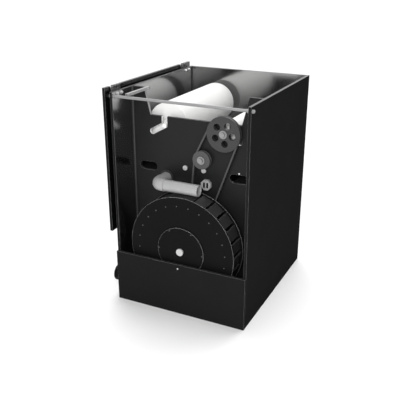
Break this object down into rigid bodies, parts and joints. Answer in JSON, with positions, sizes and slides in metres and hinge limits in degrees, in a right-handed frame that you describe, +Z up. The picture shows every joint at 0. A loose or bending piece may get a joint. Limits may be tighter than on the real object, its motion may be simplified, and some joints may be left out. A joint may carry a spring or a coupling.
{
  "type": "roll fleece filter box",
  "caption": "Open-topped black sheet box with a water wheel whose belt winds filter fleece from a supply roll over a screen to a take-up roll, with a hinged lid hanging open.",
  "frame": {"origin": "middle of the box's underside", "axes": "+X along the front to the right, +Y from front to back, +Z up"},
  "size_m": [0.67, 0.803, 0.985],
  "materials": {
    "black_sheet": "gloss",
    "divider_sheet": "satin",
    "satin_sheet": "satin",
    "dark_screw": "satin",
    "grey_rod": "brushed",
    "black_weld": "satin",
    "wheel_sheet": "satin",
    "grey_pipe": "satin",
    "black_pipe": "satin",
    "dark_pulley": "satin",
    "grey_wheel": "satin",
    "belt_rubber": "matte",
    "seal_rubber": "matte",
    "bright_steel": "brushed",
    "white_plastic": "satin",
    "light_bar": "satin",
    "hinge_black": "gloss",
    "white_fleece": "matte",
    "core_board": "matte"
  },
  "bodies": {
    "box": {"base_plate": "satin_sheet", "left_wall": "black_sheet", "right_wall": "satin_sheet", "back_wall": "black_sheet", "front_panel": "satin_sheet", "divider_panel": "divider_sheet", "divider_stiffener": "black_sheet", "corner_welds": "black_weld", "screen_trough": "black_sheet", "screen_rails": "black_sheet", "axle_rests": "black_sheet", "feed_spigot": "grey_pipe", "feed_pipe": "grey_pipe", "feed_elbow": "grey_pipe", "feed_seal": "seal_rubber", "port_fitting": "grey_pipe", "outlet_pipe": "black_pipe", "inlet_fitting": "black_pipe", "tie_rod": "grey_rod", "tie_rod_nuts": "grey_rod", "tie_rod_collars": "grey_rod", "rest_bar": "light_bar", "box_screws": "dark_screw", "front_hinge_wall_leaf": "hinge_black", "rear_hinge_wall_leaf": "hinge_black", "hinge_pins": "bright_steel", "hinge_wall_bolts": "bright_steel", "wheel_axle": "white_plastic", "axle_cap": "white_plastic", "axle_fasteners": "bright_steel", "axle_flange": "white_plastic", "panel_bolts": "grey_rod", "tension_stud": "grey_rod", "drive_belt": "belt_rubber", "fleece_web": "white_fleece"},
    "lid": {"lid": "satin_sheet", "front_hinge_lid_leaf": "hinge_black", "rear_hinge_lid_leaf": "hinge_black", "hinge_lid_bolts": "bright_steel"},
    "water_wheel": {"wheel_front_disc": "wheel_sheet", "wheel_rear_disc": "wheel_sheet", "wheel_hub_plate": "wheel_sheet", "wheel_hub": "wheel_sheet", "wheel_paddles": "wheel_sheet", "wheel_pulley": "dark_pulley", "front_paddle_screws": "dark_screw", "rear_paddle_screws": "dark_screw", "hub_screws": "dark_screw"},
    "takeup_roll": {"takeup_pulley": "dark_pulley", "takeup_bolt": "grey_rod", "takeup_shaft": "bright_steel", "takeup_core": "core_board", "takeup_fleece": "white_fleece"},
    "supply_roll": {"supply_axle": "white_plastic", "supply_core": "core_board", "supply_fleece": "white_fleece"},
    "tension_roller": {"tension_wheel": "grey_wheel"}
  },
  "joints": [
    {"name": "lid_hinge", "type": "hinge", "parent": "box", "child": "lid", "pos_m": [-0.316, 0, 0.979], "axis": [0, 1, 0], "range_deg": [0, 270]},
    {"name": "wheel_spin", "type": "hinge", "parent": "box", "child": "water_wheel", "pos_m": [0, 0, 0.293], "axis": [0, 1, 0], "continuous": true},
    {"name": "takeup_spin", "type": "hinge", "parent": "box", "child": "takeup_roll", "pos_m": [0.1418, 0, 0.80212], "axis": [0, 1, 0], "continuous": true},
    {"name": "supply_spin", "type": "hinge", "parent": "box", "child": "supply_roll", "pos_m": [-0.1418, 0, 0.80212], "axis": [0, 1, 0], "continuous": true},
    {"name": "tension_spin", "type": "hinge", "parent": "box", "child": "tension_roller", "pos_m": [0.042, 0, 0.67812], "axis": [0, 1, 0], "continuous": true}
  ],
  "couplings": [
    {"joint": "takeup_spin", "follows": "wheel_spin", "ratio": 0.4126},
    {"joint": "supply_spin", "follows": "wheel_spin", "ratio": -0.1781},
    {"joint": "tension_spin", "follows": "wheel_spin", "ratio": 0.8276}
  ]
}
